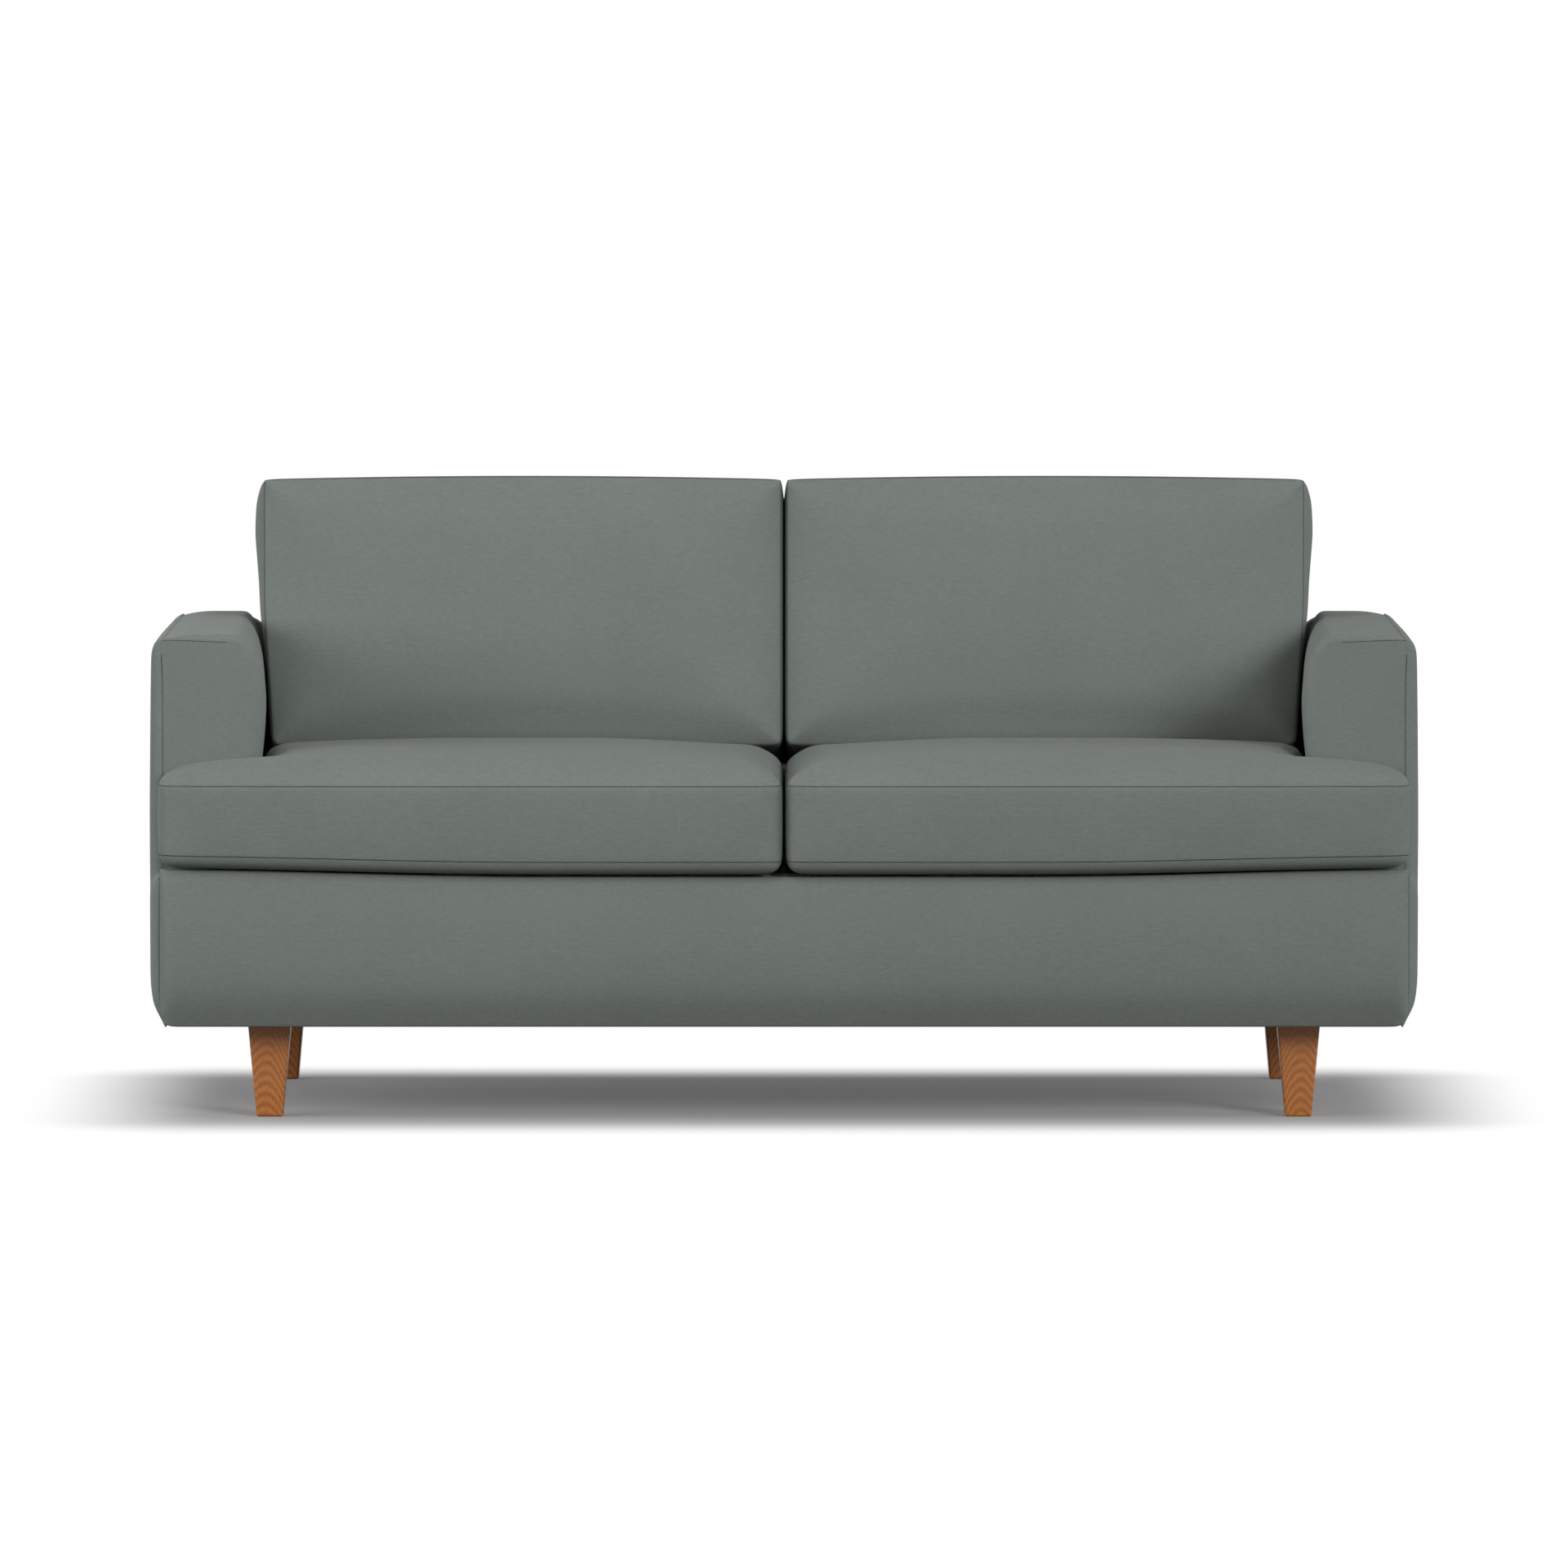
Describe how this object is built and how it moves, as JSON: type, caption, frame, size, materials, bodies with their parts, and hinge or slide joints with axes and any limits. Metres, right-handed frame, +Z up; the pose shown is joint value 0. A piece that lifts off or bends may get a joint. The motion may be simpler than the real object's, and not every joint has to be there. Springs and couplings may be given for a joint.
{
  "type": "sofa bed",
  "caption": "Upholstered sofa bed with T-shaped seat cushions, box back cushions and tapered legs; a three-section bed folds in a Z under the seat.",
  "frame": {"origin": "on the floor under the middle of the sofa's bounding box", "axes": "+X to the right as seen from the front, -Y towards the viewer in front, +Z up"},
  "size_m": [1.828, 0.97, 0.886],
  "materials": {
    "upholstery": "grey-green fine woven upholstery fabric",
    "leg_wood": "mid-brown satin lacquer",
    "frame_timber": "sawn softwood",
    "plywood": "sanded plywood",
    "bed_steel": "black powder coat",
    "plated_steel": "zinc plated",
    "ticking": "off-white woven ticking",
    "deck_cloth": "black woven deck cloth",
    "dust_cloth": "black non-woven cloth"
  },
  "bodies": {
    "sofa_frame": {"front_rail": "frame_timber", "rear_rail": "frame_timber", "bottom_slat_front": "frame_timber", "bottom_slat_rear": "frame_timber", "base_front_panel": "upholstery", "dust_cover": "dust_cloth", "back_top_rail": "frame_timber", "back_deck": "plywood", "inside_back": "upholstery", "outside_back": "upholstery", "leg_front_left": "leg_wood", "leg_front_right": "leg_wood", "leg_rear_left": "leg_wood", "leg_rear_right": "leg_wood", "leg_plate_front_left": "plated_steel", "leg_plate_front_right": "plated_steel", "leg_plate_rear_left": "plated_steel", "leg_plate_rear_right": "plated_steel", "side_rail_left": "frame_timber", "side_rail_right": "frame_timber", "arm_front_post_left": "frame_timber", "arm_front_post_right": "frame_timber", "arm_rear_post_left": "frame_timber", "arm_rear_post_right": "frame_timber", "arm_top_rail_left": "frame_timber", "arm_top_rail_right": "frame_timber", "back_post_left": "frame_timber", "back_post_right": "frame_timber", "inside_arm_left": "upholstery", "inside_arm_right": "upholstery", "outside_arm_left": "upholstery", "outside_arm_right": "upholstery", "arm_front_left": "upholstery", "arm_front_right": "upholstery", "side_plate_left": "bed_steel", "side_plate_right": "bed_steel"},
    "bed_body": {"body_deck": "deck_cloth", "body_mattress": "ticking", "body_rail_left": "bed_steel", "body_rail_right": "bed_steel"},
    "bed_head": {"head_deck": "deck_cloth", "head_mattress": "ticking", "head_end_tube": "bed_steel", "head_rail_left": "bed_steel", "head_rail_right": "bed_steel"},
    "bed_foot": {"foot_deck": "deck_cloth", "foot_mattress": "ticking", "pull_bar": "bed_steel", "foot_rail_left": "bed_steel", "foot_rail_right": "bed_steel"},
    "rear_links": {"rear_link_left": "bed_steel", "rear_link_right": "bed_steel"},
    "foot_legs": {"foot_leg_left": "bed_steel", "foot_leg_right": "bed_steel"},
    "mid_legs": {"mid_leg_left": "bed_steel", "mid_leg_right": "bed_steel"},
    "seat_cushion_left": {"seat_cushion_left": "upholstery"},
    "back_cushion_left": {"back_cushion_left": "upholstery"},
    "seat_cushion_right": {"seat_cushion_right": "upholstery"},
    "back_cushion_right": {"back_cushion_right": "upholstery"}
  },
  "joints": [
    {"name": "bed_unfold", "type": "hinge", "parent": "sofa_frame", "child": "bed_body", "pos_m": [0, -0.4057, 0.3332], "axis": [1, 0, 0], "range_deg": [0, 180]},
    {"name": "head_level", "type": "hinge", "parent": "bed_body", "child": "bed_head", "pos_m": [0, -0.4057, 0.22225], "axis": [1, 0, 0], "range_deg": [-180, 0]},
    {"name": "foot_level", "type": "hinge", "parent": "bed_body", "child": "bed_foot", "pos_m": [0, 0.1143, 0.28625], "axis": [1, 0, 0], "range_deg": [-180, 0]},
    {"name": "link_swing", "type": "hinge", "parent": "sofa_frame", "child": "rear_links", "pos_m": [0, 0.2243, 0.3032], "axis": [1, 0, 0], "range_deg": [0, 180]},
    {"name": "foot_leg_swing", "type": "hinge", "parent": "bed_foot", "child": "foot_legs", "pos_m": [0, -0.4007, 0.2955], "axis": [1, 0, 0], "range_deg": [-90, 0]},
    {"name": "mid_leg_swing", "type": "hinge", "parent": "bed_body", "child": "mid_legs", "pos_m": [0, 0.0943, 0.277], "axis": [1, 0, 0], "range_deg": [-90, 0]},
    {"name": "seat_cushion_left_lift", "type": "slide", "parent": "bed_foot", "child": "seat_cushion_left", "axis": [0, 0, 1], "range_m": [0, 0.25]},
    {"name": "seat_cushion_right_lift", "type": "slide", "parent": "bed_foot", "child": "seat_cushion_right", "axis": [0, 0, 1], "range_m": [0, 0.25]},
    {"name": "back_cushion_left_lift", "type": "slide", "parent": "sofa_frame", "child": "back_cushion_left", "axis": [0, 0, 1], "range_m": [0, 0.3]},
    {"name": "back_cushion_right_lift", "type": "slide", "parent": "sofa_frame", "child": "back_cushion_right", "axis": [0, 0, 1], "range_m": [0, 0.3]}
  ],
  "couplings": [
    {"joint": "head_level", "follows": "bed_unfold", "ratio": -1},
    {"joint": "foot_level", "follows": "bed_unfold", "ratio": -1},
    {"joint": "link_swing", "follows": "bed_unfold", "ratio": 1},
    {"joint": "foot_leg_swing", "follows": "bed_unfold", "ratio": -0.5},
    {"joint": "mid_leg_swing", "follows": "bed_unfold", "ratio": -0.5}
  ]
}
